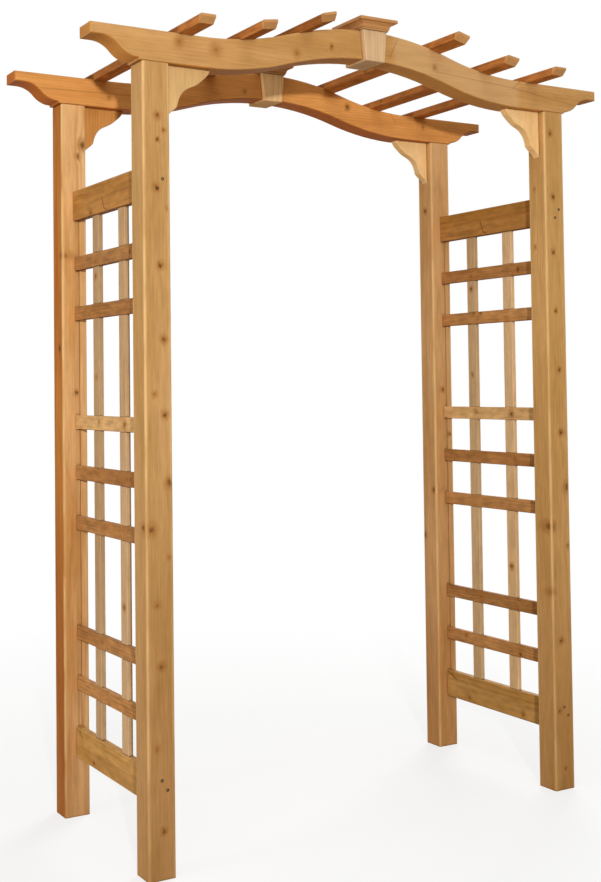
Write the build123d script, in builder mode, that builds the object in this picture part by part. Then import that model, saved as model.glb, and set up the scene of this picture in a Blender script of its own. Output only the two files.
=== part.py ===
"""Garden arbor with an arched head: four posts, two shaped beams, rafters and two lattice sides.

Lengths are in millimetres, +Z is up, +X runs along the beams and +Y runs towards the back.
The origin is at ground level, in the middle of the plan.
"""
import math
import os

from build123d import *

os.makedirs("parts", exist_ok=True)

# Posts and the plan they stand on
post_side = 70
post_height = 1930
post_edge_round = 4
post_top_ease = 2
passage_width = 1180
passage_depth = 470

# Beams: an arched middle between two flat ends with shaped tails
beam_depth = 76
beam_overhang = 130
beam_edge_ease = 2
arch_rise = 76
arch_half_span = 500
tail_tip_height = 27
tail_tip_flat = 26
tail_lip = 8
tail_step = 5

# Rafters laid across the two beams, three on each side of the crown
rafter_width = 38
rafter_height = 20
rafter_overhang = 125
rafter_bevel_run = 15
rafter_bevel_rise = 14
rafter_first = 205
rafter_end_inset = 245
rafters_per_half = 3
seat_depth = 2
seat_clearance = 0.3

# Keystone blocks that straddle the crown of each beam
keystone_top_width = 74
keystone_bottom_width = 59
keystone_proud = 15
keystone_below = 6
keystone_edge_ease = 1.5

# Moulded caps on the keystones
cap_height = 28
cap_flare = 18
cap_foot_margin = 3
cap_foot_height = 5
cap_lip_height = 8
cap_quirk = 2

# Corner brackets between post and beam
bracket_width = 120
bracket_height = 130
bracket_thick = 27
bracket_tip_step = 5
bracket_edge_ease = 1.5
bracket_tip_share = 1
bracket_curve_shares = [
    (0.94, 0.12),
    (0.83, 0.215),
    (0.68, 0.32),
    (0.53, 0.385),
    (0.42, 0.455),
    (0.34, 0.545),
    (0.29, 0.65),
    (0.26, 0.76),
]
bracket_foot_shares = [(0.17, 0.84), (0.08, 0.91)]

# Side panels, set off the posts' middle: two rails and a lattice of half-lapped slats between them
panel_offset = 8
rail_height = 82
rail_thick = 20
rail_edge_ease = 2
rail_top_drop = 240
rail_foot_level = 158
slat_height = 38
slat_thick = 13
slat_gap = 98
upright_width = 40
upright_offset = 86
groove_depth = 3
groove_clearance = 0.5
slat_rows = [2, 3, 2]

# Sizes that follow from the ones above
post_x = (passage_width + post_side) / 2
post_y = (passage_depth + post_side) / 2
frame_half_depth = post_y + post_side / 2
beam_half = post_x + post_side / 2 + beam_overhang
beam_top = post_height + beam_depth
crown_level = beam_top + arch_rise
arch_half = arch_half_span / 2
arch_radius = (arch_half**2 + (arch_rise / 2) ** 2) / arch_rise
tail_run = beam_overhang - tail_tip_flat - tail_lip
tail_under = beam_top - tail_tip_height
tail_drop = beam_depth - tail_tip_height - tail_step
rafter_half = frame_half_depth + rafter_overhang
rafter_pitch = (beam_half - rafter_end_inset - rafter_first) / (rafters_per_half - 1)
keystone_depth = post_side + keystone_proud * 2
panel_foot = rail_foot_level + rail_height
panel_head = post_height - rail_top_drop - rail_height
panel_height = panel_head - panel_foot
slat_count = sum(slat_rows)
long_gaps = len(slat_rows) - 1
short_gaps = slat_count + 1 - long_gaps
long_gap = (panel_height - slat_count * slat_height - short_gaps * slat_gap) / long_gaps


def top_level(along):
    """Height of the beam's upper edge at a distance from the middle."""
    reach = abs(along)
    if reach >= arch_half_span:
        return beam_top
    if reach > arch_half:
        short = arch_half_span - reach
        return beam_top + arch_radius - math.sqrt(arch_radius**2 - short**2)
    return crown_level - arch_radius + math.sqrt(arch_radius**2 - reach**2)


def top_slope(along):
    """Slope of the beam's upper edge, in radians, falling away from the middle."""
    reach = abs(along)
    if reach >= arch_half_span:
        return 0
    short = arch_half_span - reach if reach > arch_half else reach
    return -math.copysign(math.asin(short / arch_radius), along)


def rafter_plane(along):
    """Plane of a rafter's side: its first axis runs front to back, its second is the rafter's up."""
    slope = top_slope(along)
    tangent = Vector(math.cos(slope), 0, math.sin(slope))
    upward = Vector(-math.sin(slope), 0, math.cos(slope))
    foot = Vector(along, 0, top_level(along)) - upward * seat_depth
    return Plane(origin=foot, x_dir=(0, 1, 0), z_dir=tangent)


def keep(piece, label):
    """Name a finished piece and write its file."""
    piece.part.label = label
    export_step(piece.part, f"parts/{label}.step")


rafter_places = []
for side in (-1, 1):
    for step in range(rafters_per_half):
        rafter_places.append(side * (rafter_first + rafter_pitch * step))
rafter_places.sort()


def make_post(label, side_x, side_y):
    """One post with a shallow groove for the slat ends, on the face that looks along the panel."""
    groove_y = side_y * (passage_depth / 2 + groove_depth / 2)
    with BuildPart() as post:
        with BuildSketch(Plane.XY):
            with Locations((side_x * post_x, side_y * post_y)):
                RectangleRounded(post_side, post_side, post_edge_round)
        extrude(amount=post_height)
        chamfer(post.faces().sort_by(Axis.Z)[-1].edges(), length=post_top_ease)
        with BuildSketch(Plane.XY.offset(panel_foot)):
            with Locations((side_x * post_x + panel_offset, groove_y)):
                Rectangle(slat_thick, groove_depth)
        extrude(amount=panel_height, mode=Mode.SUBTRACT)
    keep(post, label)


def make_beam(label, side_y):
    """One beam: arched middle, flat ends on the posts, shaped tails, seats for the rafters."""
    front_plane = Plane.XZ.offset(-side_y * post_y + post_side / 2)
    tip = (beam_half, tail_under)
    curve_start = (beam_half - tail_tip_flat, tail_under)
    curve_middle = (beam_half - tail_tip_flat - tail_run / 2, tail_under - tail_drop / 2)
    curve_end = (beam_half - tail_tip_flat - tail_run, tail_under - tail_drop)
    lip = (beam_half - tail_tip_flat - tail_run, post_height)
    with BuildPart() as beam:
        with BuildSketch(front_plane):
            with BuildLine():
                crown = TangentArc(
                    (0, crown_level), (arch_half, beam_top + arch_rise / 2), tangent=(1, 0)
                )
                TangentArc(crown @ 1, (arch_half_span, beam_top), tangent=crown % 1)
                Polyline((arch_half_span, beam_top), (beam_half, beam_top), tip, curve_start)
                upper = TangentArc(curve_start, curve_middle, tangent=(-1, 0))
                TangentArc(upper @ 1, curve_end, tangent=upper % 1)
                Polyline(curve_end, lip, (arch_half_span, post_height))
                soffit = TangentArc(
                    (arch_half_span, post_height),
                    (arch_half, post_height + arch_rise / 2),
                    tangent=(-1, 0),
                )
                TangentArc(soffit @ 1, (0, post_height + arch_rise), tangent=soffit % 1)
                mirror(about=Plane.YZ)
            make_face()
        extrude(amount=-post_side)
        outer_faces = beam.faces().filter_by(Axis.Y)
        chamfer(outer_faces.edges(), length=beam_edge_ease)
        for along in rafter_places:
            with BuildSketch(rafter_plane(along)):
                Rectangle(rafter_half * 2, rafter_height, align=(Align.CENTER, Align.MIN))
            extrude(amount=rafter_width / 2 + seat_clearance, both=True, mode=Mode.SUBTRACT)
    keep(beam, label)


def make_rafter(label, along):
    """One rafter, bevelled under both ends and tilted to the beam's edge where it crosses."""
    with BuildPart() as rafter:
        with BuildSketch(rafter_plane(along)):
            with BuildLine():
                Polyline(
                    (rafter_bevel_run - rafter_half, 0),
                    (rafter_half - rafter_bevel_run, 0),
                    (rafter_half, rafter_bevel_rise),
                    (rafter_half, rafter_height),
                    (-rafter_half, rafter_height),
                    (-rafter_half, rafter_bevel_rise),
                    close=True,
                )
            make_face()
        extrude(amount=rafter_width / 2, both=True)
    keep(rafter, label)


def make_keystone(label, side_y):
    """One keystone: a tapered block notched over the beam, open at the top."""
    foot_level = post_height + arch_rise - keystone_below
    reach = keystone_top_width
    with BuildPart() as keystone:
        with BuildSketch(Plane.XZ.offset(-side_y * post_y + keystone_depth / 2)):
            with BuildLine():
                Polyline(
                    (-keystone_bottom_width / 2, foot_level),
                    (keystone_bottom_width / 2, foot_level),
                    (keystone_top_width / 2, crown_level),
                    (-keystone_top_width / 2, crown_level),
                    close=True,
                )
            make_face()
        extrude(amount=-keystone_depth)
        chamfer(keystone.faces().filter_by(Axis.Y).edges(), length=keystone_edge_ease)
        with BuildSketch(Plane.XZ.offset(-side_y * post_y + post_side / 2)):
            with BuildLine():
                ThreePointArc(
                    (-reach, top_level(reach) - beam_depth),
                    (0, crown_level - beam_depth),
                    (reach, top_level(reach) - beam_depth),
                )
                Polyline(
                    (reach, top_level(reach) - beam_depth),
                    (reach, crown_level + cap_height),
                    (-reach, crown_level + cap_height),
                    (-reach, top_level(reach) - beam_depth),
                )
            make_face()
        extrude(amount=-post_side, mode=Mode.SUBTRACT)
    keep(keystone, label)


def make_cap(label, side_y):
    """One cap: the moulding runs round all four sides and meets in mitres."""
    middle_y = side_y * post_y
    cove_low = crown_level + cap_foot_height
    cove_high = crown_level + cap_height - cap_lip_height
    reach = keystone_depth + cap_flare
    front_plane = Plane.XZ.offset(-middle_y)
    side_plane = Plane(origin=(0, middle_y, 0), x_dir=(0, 1, 0), z_dir=(1, 0, 0))
    with BuildPart() as cap:
        for plane, block_half, mode in (
            (front_plane, keystone_top_width / 2, Mode.ADD),
            (side_plane, keystone_depth / 2, Mode.INTERSECT),
        ):
            foot_half = block_half + cap_foot_margin
            lip_half = foot_half + cap_flare
            with BuildSketch(plane):
                with BuildLine():
                    Polyline(
                        (0, crown_level),
                        (foot_half, crown_level),
                        (foot_half, cove_low),
                        (foot_half + cap_quirk, cove_low),
                    )
                    TangentArc(
                        (foot_half + cap_quirk, cove_low),
                        (lip_half - cap_quirk, cove_high),
                        tangent=(0, 1),
                    )
                    Polyline(
                        (lip_half - cap_quirk, cove_high),
                        (lip_half, cove_high),
                        (lip_half, crown_level + cap_height),
                        (0, crown_level + cap_height),
                    )
                    mirror(about=Plane.YZ)
                make_face()
            extrude(amount=reach, both=True, mode=mode)
    keep(cap, label)


def make_bracket(label, side_x, side_y):
    """One scrolled corner bracket, in the middle of the post's depth."""
    corner_x = passage_width / 2
    curve = [(bracket_tip_share, bracket_tip_step / bracket_height)] + bracket_curve_shares
    places = []
    for along_share, down_share in curve:
        along = side_x * (corner_x - bracket_width * along_share)
        places.append((along, post_height - bracket_height * down_share))
    feet = [places[-1]]
    for along_share, down_share in bracket_foot_shares:
        along = side_x * (corner_x - bracket_width * along_share)
        feet.append((along, post_height - bracket_height * down_share))
    foot = (side_x * corner_x, post_height - bracket_height)
    corner = (side_x * corner_x, post_height)
    tip = (side_x * (corner_x - bracket_width), post_height)
    with BuildPart() as bracket:
        with BuildSketch(Plane.XZ.offset(-side_y * post_y)):
            with BuildLine():
                Spline(places)
                Spline(feet + [foot])
                Polyline(foot, corner, tip, places[0])
            make_face()
        extrude(amount=bracket_thick / 2, both=True)
        chamfer(bracket.faces().filter_by(Axis.Y).edges(), length=bracket_edge_ease)
    keep(bracket, label)


def make_rail(label, side_x, foot_level):
    """One flat rail between the two posts of a side."""
    with BuildPart() as rail:
        with BuildSketch(Plane.XZ.offset(-passage_depth / 2)):
            with Locations((side_x * post_x + panel_offset, foot_level + rail_height / 2)):
                Rectangle(rail_thick, rail_height)
        extrude(amount=passage_depth)
        chamfer(rail.edges().filter_by(Axis.Y), length=rail_edge_ease)
    keep(rail, label)


def make_lattice(label, side_x):
    """One lattice: level slats and two uprights, half-lapped flush where they cross."""
    slat_length = passage_depth + (groove_depth - groove_clearance) * 2
    panel_plane = Plane(
        origin=(side_x * post_x + panel_offset, 0, 0), x_dir=(0, 1, 0), z_dir=(1, 0, 0)
    )
    with BuildPart() as lattice:
        with BuildSketch(panel_plane):
            level = panel_foot
            for row, count in enumerate(slat_rows):
                level += long_gap if row else slat_gap
                for place in range(count):
                    level += slat_gap if place else 0
                    with Locations((0, level + slat_height / 2)):
                        Rectangle(slat_length, slat_height)
                    level += slat_height
            with Locations((-upright_offset, panel_foot), (upright_offset, panel_foot)):
                Rectangle(upright_width, panel_height, align=(Align.CENTER, Align.MIN))
        extrude(amount=slat_thick / 2, both=True)
    keep(lattice, label)


for side_name, side_x in (("left", -1), ("right", 1)):
    for end_name, side_y in (("front", -1), ("back", 1)):
        make_post(f"{end_name}_{side_name}_post", side_x, side_y)
        make_bracket(f"{end_name}_{side_name}_bracket", side_x, side_y)
    make_rail(f"{side_name}_lower_rail", side_x, rail_foot_level)
    make_rail(f"{side_name}_upper_rail", side_x, panel_head)
    make_lattice(f"{side_name}_lattice", side_x)

for end_name, side_y in (("front", -1), ("back", 1)):
    make_beam(f"{end_name}_beam", side_y)
    make_keystone(f"{end_name}_keystone", side_y)
    make_cap(f"{end_name}_keystone_cap", side_y)

for number, along in enumerate(rafter_places, start=1):
    make_rafter(f"rafter_{number}", along)
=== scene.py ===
"""Looks of a stained softwood garden arbor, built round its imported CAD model.

The CAD pieces keep their shapes and get wood finishes. The lattice boards, cut apart and half-lapped,
stand for the two lattice nodes, and screw heads sit where rails and rafters are fixed.
Meshes are in metres and wood patterns in millimetres, both in the frame of the CAD model.
"""
import logging
import math
from abc import ABC, abstractmethod
from dataclasses import dataclass
from enum import Enum

import bmesh
import bpy
from mathutils import Matrix, Vector


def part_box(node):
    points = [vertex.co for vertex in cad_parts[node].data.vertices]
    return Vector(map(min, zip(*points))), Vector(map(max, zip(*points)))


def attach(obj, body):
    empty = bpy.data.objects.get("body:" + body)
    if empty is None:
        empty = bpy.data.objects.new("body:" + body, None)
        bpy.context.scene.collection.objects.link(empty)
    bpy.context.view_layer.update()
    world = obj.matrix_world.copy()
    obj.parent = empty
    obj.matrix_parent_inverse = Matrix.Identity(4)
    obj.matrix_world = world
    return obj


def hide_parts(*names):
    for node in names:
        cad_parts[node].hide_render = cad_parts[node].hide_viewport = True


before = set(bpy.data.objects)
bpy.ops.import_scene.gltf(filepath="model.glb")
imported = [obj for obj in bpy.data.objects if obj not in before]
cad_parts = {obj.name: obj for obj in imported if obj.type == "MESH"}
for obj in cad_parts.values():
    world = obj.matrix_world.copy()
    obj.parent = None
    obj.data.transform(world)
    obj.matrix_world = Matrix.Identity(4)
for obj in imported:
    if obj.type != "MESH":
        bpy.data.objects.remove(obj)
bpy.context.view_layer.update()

# What an input is linked to: an output, or a node, for its first output in use
Source = bpy.types.Node | bpy.types.NodeSocket

LOG = logging.getLogger("arbor")
BODY = "root"
MM = 0.001
PER_METRE = 1000.0
PHOTO_HEIGHT_PX = 882
BOARD_NUMBER = "board"
FACING = "facing"

# Inputs of a colour Mix node, which share their names with its other kinds
MIX_FACTOR = 0
MIX_FIRST = 6
MIX_SECOND = 7


class Grain(Enum):
    """Axis that a piece's fibres run along, as the rows that turn it to the third axis of a pattern."""

    ALONG_X = ((0, 1, 0), (0, 0, 1), (1, 0, 0))
    ALONG_Y = ((0, 0, 1), (1, 0, 0), (0, 1, 0))
    ALONG_Z = ((1, 0, 0), (0, 1, 0), (0, 0, 1))


class Blend(Enum):
    """How a coat changes the colour under it."""

    OVER = "MIX"
    TINT = "MULTIPLY"


class Face(Enum):
    """Outward direction of a face of a piece."""

    FRONT = (0, -1, 0)
    BACK = (0, 1, 0)
    LEFT = (-1, 0, 0)
    RIGHT = (1, 0, 0)
    UNDER = (0, 0, -1)


@dataclass(frozen=True)
class Knot:
    """A branch that comes out of one face, with its place and radius in millimetres.

    across is from the piece's middle, to the right as one looks at the face. height is from the ground.
    tone is 1 for a dark knot and less for one that the stain hides.
    """

    face: Face
    across: float
    height: float
    radius: float
    tone: float = 1.0


@dataclass(frozen=True)
class Seam:
    """A glue line or a fine crack between two points of a face: along the piece, and up, in millimetres.

    tone is 1 for an open crack and less for a tight glue line.
    """

    start: tuple[float, float]
    end: tuple[float, float]
    tone: float = 0.5


@dataclass(frozen=True)
class Coat:
    """A colour laid over the wood, as far as its cover says, from 0 to 1: a real mark, or painted light or
    shade.
    """

    cover: Source
    hue: str
    blend: Blend = Blend.OVER


def linear(hex_code: str) -> tuple[float, float, float, float]:
    """Turn an sRGB hex colour into the linear colour that nodes take.

    Args:
        hex_code: Six hex digits.

    Returns:
        Linear red, green and blue, with an alpha of one.
    """
    channels = [int(hex_code[i:i + 2], 16) / 255 for i in (0, 2, 4)]
    red, green, blue = [c / 12.92 if c <= 0.04045 else ((c + 0.055) / 1.055) ** 2.4 for c in channels]
    return (red, green, blue, 1.0)


def add_node(tree: bpy.types.NodeTree, kind: str, inputs: dict | None = None, **settings) -> bpy.types.Node:
    """Add a node, set its properties, and fill or link its inputs.

    Args:
        tree: Tree that gets the node.
        kind: Blender's name for the node's type.
        inputs: By input name or number: values, output sockets, or nodes, for their first output in use.
        settings: Properties of the node.

    Returns:
        The new node.
    """
    node = tree.nodes.new(kind)
    for name, value in settings.items():
        setattr(node, name, value)
    for key, value in (inputs or {}).items():
        if isinstance(value, bpy.types.Node):
            value = next(output for output in value.outputs if output.enabled)
        if isinstance(value, bpy.types.NodeSocket):
            tree.links.new(value, node.inputs[key])
        else:
            node.inputs[key].default_value = value
    return node


def set_stops(ramp: bpy.types.Node, stops: tuple[tuple[float, float], ...]) -> None:
    """Give a ramp node its grey stops.

    Args:
        ramp: The node.
        stops: Place and grey of each stop.
    """
    elements = ramp.color_ramp.elements
    while len(elements) < len(stops):
        elements.new(1.0)
    for element, (spot, grey) in zip(elements, stops):
        element.position = spot
        element.color = (grey, grey, grey, 1.0)


def new_material(name: str) -> bpy.types.Material:
    """Make an empty node material.

    Args:
        name: Name of the material.

    Returns:
        The material.
    """
    material = bpy.data.materials.new(name)
    material.use_nodes = True
    material.node_tree.nodes.clear()
    return material


def add_object(name: str, data: bpy.types.ID) -> bpy.types.Object:
    """Make an object and put it in the scene.

    Args:
        name: Name of the object.
        data: Its mesh, lamp or camera.

    Returns:
        The object.
    """
    thing = bpy.data.objects.new(name, data)
    bpy.context.scene.collection.objects.link(thing)
    return thing


@dataclass(frozen=True)
class StainedSoftwood:
    """Fir under one thin coat of stain: soft year rings, fibre streaks and knots under a nearly matt film.

    body, pale and late are the colours of the clear wood, of patches that took less stain, and of late wood.
    """

    name: str
    body: str
    pale: str
    late: str
    knot: str = "603812"
    halo: str = "a0682e"
    # Paler wood: bare patches and wear, and painted highlights on edges, corners and cut ends
    rubbed: str = "dcb47a"
    # Tint that makes a post darker towards the bottom
    damp: str = "dcd3cc"
    ring_mm: float = 9.0
    wander_mm: float = 30.0
    ring_share: float = 0.4
    fibre_share: float = 0.1
    mottle_share: float = 0.05
    stray_knot_gap_mm: float = 0.0
    roughness: float = 0.62


@dataclass(frozen=True)
class WoodLook:
    """How one piece of wood is cut: its finish, the run of its fibres, and what shows on its faces.

    pith is how far the trunk's middle lies from the piece's middle, across the fibres, in millimetres.
    dark_faces are tinted darker as painted shade, where a face turns down or aside; on the ends of the beams
    this also stands for end grain, which takes more stain.
    dark_stain is the tint.
    pale_board is the number of the one board, among many, that hardly took the stain.
    pale_length is where a paler length was glued in, along the piece from its middle, in millimetres.
    """

    finish: StainedSoftwood
    grain: Grain
    pith: tuple[float, float]
    knots: tuple[Knot, ...] = ()
    seams: tuple[Seam, ...] = ()
    rubbed_corners: bool = False
    rubbed_edges: bool = False
    damp_foot: bool = False
    many_boards: bool = False
    pale_board: int | None = None
    pale_end_mm: float = 0.0
    pale_length: tuple[float, float] | None = None
    dark_faces: tuple[Face, ...] = ()
    dark_stain: str = ""


class WoodMaker:
    """Builds the material of one piece of wood.

    Each pattern reads the piece's own place in millimetres, so that knots and rings meet round its corners.
    place is measured from the piece's middle, with the fibres along the third axis, and moved is the same on
    a stretch of trunk of its own. board is the number of a board among many, and knots is the distance to the
    nearest knot's heart, in that knot's radii. Both are None where the piece has none.
    """

    # Noises: millimetres of a patch across and along the fibres, and octaves of finer noise in it
    fibre_streak = (3.2, 120.0, 3.0)
    mottle_streak = (13.0, 40.0, 2.0)
    patch_streak = (55.0, 480.0, 3.0)
    wave_streak = (80.0, 560.0, 2.0)
    fading_streak = (38.0, 330.0, 1.0)
    wear_streak = (24.0, 130.0, 2.0)
    knot_outline_streak = (9.0, 13.0, 1.0)
    # What a noise mostly keeps between, and the narrower spans that give some of them more contrast
    noise_low, noise_high = 0.3, 0.7
    patch_low, patch_high = 0.36, 0.66
    fading_low, fading_high, fading_least = 0.35, 0.62, 0.15
    wear_low, wear_high, wear_least, wear_most = 0.38, 0.62, 0.25, 0.85
    # How far along the trunk each piece and each board is cut from the next
    seed_step_mm = 431.0
    board_step_mm = (13.0, 29.0, 617.0)
    # Knots. Halo and heart: how many radii out they are full and gone, and how much they cover
    knot_wobble_mm = 10.0
    knot_depth = 3.0
    knot_height = 1.15
    stray_knot_mm = 7.0
    stray_cell_share = 0.25
    halo = (0.7, 2.6, 0.65)
    heart = (0.2, 1.15, 0.85)
    # Real glue lines are under half a millimetre, so they are drawn coarser, to show at the render's size
    seam_near_mm, seam_far_mm, seam_end_mm = 0.6, 2.6, 5.0
    # Year rings: pale early wood that turns dark and then breaks off, and how far knots push them aside
    ring_stops = ((0.0, 0.2), (0.35, 0.0), (0.78, 0.8), (0.9, 1.0), (1.0, 0.2))
    trunk_taper_share = 0.012
    knot_push_rings = 2.0
    # Places that took more or less stain or are worn, a darker foot, and painted light: painted highlights on
    # edges, corners and cut ends, and painted shade on faces that turn down or aside and in the corners of
    # joints
    edge_mm, edge_flat_cosine, edge_sharp_cosine, edge_samples = 4.0, 0.99, 0.8, 6
    dark_from_cosine, dark_to_cosine = 0.25, 0.6
    corner_far_mm, corner_near_mm = 9.0, 3.0
    pale_board_share = 0.6
    board_tone_share = 0.14
    pale_end_share, pale_end_blur_mm = 0.7, 2.0
    pale_length_share, pale_length_blur_mm = 0.3, 10.0
    damp_height_share = 0.3
    joint_mm, joint_tone, joint_closed, joint_open, joint_samples = 8.0, 0.45, 0.3, 0.85, 8
    # Film of stain over fine relief
    ring_relief_share = 0.5
    relief_mm, relief_strength = 0.6, 0.3
    ior, specular_level = 1.5, 0.08
    roughness_drop, roughness_rise = 0.07, 0.09

    def __init__(self, look: WoodLook, node: str, seed: int) -> None:
        """Measure the piece.

        Args:
            look: How the piece is cut and finished.
            node: The CAD node that the piece is, or stands for.
            seed: Number that moves the pattern along, so that no two pieces are alike.
        """
        low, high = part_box(node)
        self.look = look
        self.finish = look.finish
        self.seed = seed
        self.middle = (low + high) / 2 * PER_METRE
        self.half = (high - low) / 2 * PER_METRE
        self.turn = Matrix(look.grain.value)
        self.material = new_material(f"{look.finish.name}_{node}")
        self.tree = self.material.node_tree
        self.board = None
        if look.many_boards:
            board = add_node(self.tree, "ShaderNodeAttribute", attribute_name=BOARD_NUMBER)
            self.board = board.outputs["Fac"]
        self.place = self.piece_place()
        self.moved = self.moved_place()
        self.knots = self.knot_distance()

    def build(self) -> bpy.types.Material:
        """Build the whole material.

        Returns:
            The material.
        """
        tree = self.tree
        ring = self.ring_tone()
        fibre = self.drawn_noise(self.fibre_streak)
        colour = self.wood_colour(ring, fibre)
        for coat in self.coats():
            colour = add_node(
                tree, "ShaderNodeMix",
                {MIX_FACTOR: coat.cover, MIX_FIRST: colour, MIX_SECOND: linear(coat.hue)},
                data_type="RGBA", blend_type=coat.blend.value,
            )
        # Painted shade in the corners of joints
        colour = self.joint_shade(colour)
        gloss = add_node(
            tree, "ShaderNodeMapRange",
            {"Value": fibre, "From Min": self.noise_low, "From Max": self.noise_high,
             "To Min": self.finish.roughness - self.roughness_drop,
             "To Max": self.finish.roughness + self.roughness_rise},
        )
        relief = add_node(
            tree, "ShaderNodeMath", {0: ring, 1: self.ring_relief_share, 2: fibre}, operation="MULTIPLY_ADD"
        )
        bump = add_node(
            tree, "ShaderNodeBump",
            {"Height": relief, "Strength": self.relief_strength, "Distance": self.relief_mm * MM},
        )
        shader = add_node(
            tree, "ShaderNodeBsdfPrincipled",
            {"Base Color": colour, "Roughness": gloss, "Normal": bump,
             "IOR": self.ior, "Specular IOR Level": self.specular_level},
        )
        add_node(tree, "ShaderNodeOutputMaterial", {"Surface": shader})
        return self.material

    def coats(self) -> list[Coat]:
        """List what is laid over the clear wood, from the lowest up, painted light and shade among it.

        Returns:
            The coats.
        """
        look, finish = self.look, self.finish
        coats = []
        if look.pale_length:
            coats.append(Coat(self.pale_length_cover(), finish.rubbed))
        coats += [Coat(self.seam_cover(seam), finish.knot) for seam in look.seams]
        if self.knots is not None:
            coats.append(Coat(self.knot_cover(*self.halo), finish.halo))
            coats.append(Coat(self.knot_cover(*self.heart), finish.knot))
        # Painted shade on faces that turn down or aside; on the beams' ends also darker end grain
        if look.dark_faces:
            coats.append(Coat(self.dark_face_cover(), look.dark_stain, Blend.TINT))
        # Painted highlight along the posts' long corners
        if look.rubbed_corners:
            coats.append(Coat(self.wear_cover(self.corner_nearness()), finish.rubbed))
        # Wear and painted highlight along sharp edges
        if look.rubbed_edges:
            coats.append(Coat(self.wear_cover(self.edge_nearness()), finish.rubbed))
        # Painted highlight on the rafters' cut ends
        if look.pale_end_mm:
            coats.append(Coat(self.pale_end_cover(), finish.rubbed))
        # Darker towards the foot
        if look.damp_foot:
            coats.append(Coat(self.damp_cover(), finish.damp, Blend.TINT))
        return coats

    def piece_place(self) -> Source:
        """Find the place on the piece, with the fibres along the third axis.

        Returns:
            Millimetres from the piece's middle.
        """
        coords = add_node(self.tree, "ShaderNodeTexCoord")
        return add_node(
            self.tree, "ShaderNodeMapping",
            {"Vector": coords.outputs["Object"], "Location": self.turn @ -self.middle,
             "Rotation": self.turn.to_euler(), "Scale": (PER_METRE, PER_METRE, PER_METRE)},
        )

    def moved_place(self) -> Source:
        """Move the place along the fibres, to a stretch of trunk that no other piece or board was cut from.

        Returns:
            The moved place.
        """
        moved = add_node(
            self.tree, "ShaderNodeVectorMath",
            {0: self.place, 1: (0.0, 0.0, self.seed * self.seed_step_mm)}, operation="ADD",
        )
        if self.board is None:
            return moved
        jump = add_node(
            self.tree, "ShaderNodeVectorMath", {0: self.board_step_mm, "Scale": self.board}, operation="SCALE"
        )
        return add_node(self.tree, "ShaderNodeVectorMath", {0: moved, 1: jump}, operation="ADD")

    def drawn_noise(self, streak: tuple[float, float, float], output: str = "Fac") -> Source:
        """A noise whose patches are drawn out along the fibres.

        Args:
            streak: Size of a patch across and along the fibres, and octaves of finer noise.
            output: Fac for one number, Color for three.

        Returns:
            The noise.
        """
        across, along, octaves = streak
        drawn = add_node(
            self.tree, "ShaderNodeVectorMath",
            {0: self.moved, 1: (1 / across, 1 / across, 1 / along)}, operation="MULTIPLY",
        )
        noise = add_node(self.tree, "ShaderNodeTexNoise", {"Vector": drawn, "Scale": 1.0, "Detail": octaves})
        return noise.outputs[output]

    def knot_distance(self) -> Source | None:
        """Distance to the nearest knot's heart, in that knot's radii.

        Returns:
            The distance, or None where the piece has no knots.
        """
        tree = self.tree
        if not self.look.knots and not self.finish.stray_knot_gap_mm:
            return None
        noise = self.drawn_noise(self.knot_outline_streak, "Color")
        swing = add_node(tree, "ShaderNodeVectorMath", {0: noise, 1: (0.5, 0.5, 0.5)}, operation="SUBTRACT")
        wobble = add_node(
            tree, "ShaderNodeVectorMath", {0: swing, "Scale": self.knot_wobble_mm}, operation="SCALE"
        )
        distances = []
        if self.finish.stray_knot_gap_mm:
            distances.append(self.stray_knots(wobble))
        shaken = add_node(tree, "ShaderNodeVectorMath", {0: self.place, 1: wobble}, operation="ADD")
        distances += [self.placed_knot(shaken, knot) for knot in self.look.knots]
        nearest = distances[0]
        for distance in distances[1:]:
            nearest = add_node(tree, "ShaderNodeMath", {0: nearest, 1: distance}, operation="MINIMUM")
        return nearest

    def placed_knot(self, place: Source, knot: Knot) -> Source:
        """Distance to one knot, which runs deeper than it is wide.

        Args:
            place: Millimetres from the piece's middle, shaken a little.
            knot: The knot.

        Returns:
            The distance.
        """
        outward = Vector(knot.face.value)
        depth = Vector([abs(part) for part in outward])
        sideways = Vector((0, 0, 1)).cross(outward)
        spot = outward * depth.dot(self.half) + sideways * knot.across
        spot.z = knot.height - self.middle.z
        radii = self.turn @ (Vector((1, 1, self.knot_height)) + depth * (self.knot_depth - 1)) * knot.radius
        away = add_node(
            self.tree, "ShaderNodeVectorMath", {0: place, 1: self.turn @ spot}, operation="SUBTRACT"
        )
        scaled = add_node(self.tree, "ShaderNodeVectorMath", {0: away, 1: radii}, operation="DIVIDE")
        length = add_node(self.tree, "ShaderNodeVectorMath", {0: scaled}, operation="LENGTH")
        return add_node(self.tree, "ShaderNodeMath", {0: length, 1: 1 - knot.tone}, operation="ADD")

    def stray_knots(self, wobble: Source) -> Source:
        """Distance to the nearest of many scattered knots.

        Args:
            wobble: What makes their outlines uneven.

        Returns:
            The distance.
        """
        tree = self.tree
        gap = self.finish.stray_knot_gap_mm
        cell = Vector((gap * self.stray_cell_share, gap * self.stray_cell_share, gap))
        shaken = add_node(tree, "ShaderNodeVectorMath", {0: self.moved, 1: wobble}, operation="ADD")
        drawn = add_node(tree, "ShaderNodeVectorMath", {0: shaken, 1: cell}, operation="DIVIDE")
        spots = add_node(tree, "ShaderNodeTexVoronoi", {"Vector": drawn, "Scale": 1.0})
        away = add_node(
            tree, "ShaderNodeVectorMath", {0: drawn, 1: spots.outputs["Position"]}, operation="SUBTRACT"
        )
        scaled = add_node(
            tree, "ShaderNodeVectorMath", {0: away, 1: cell / self.stray_knot_mm}, operation="MULTIPLY"
        )
        return add_node(tree, "ShaderNodeVectorMath", {0: scaled}, operation="LENGTH")

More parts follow.
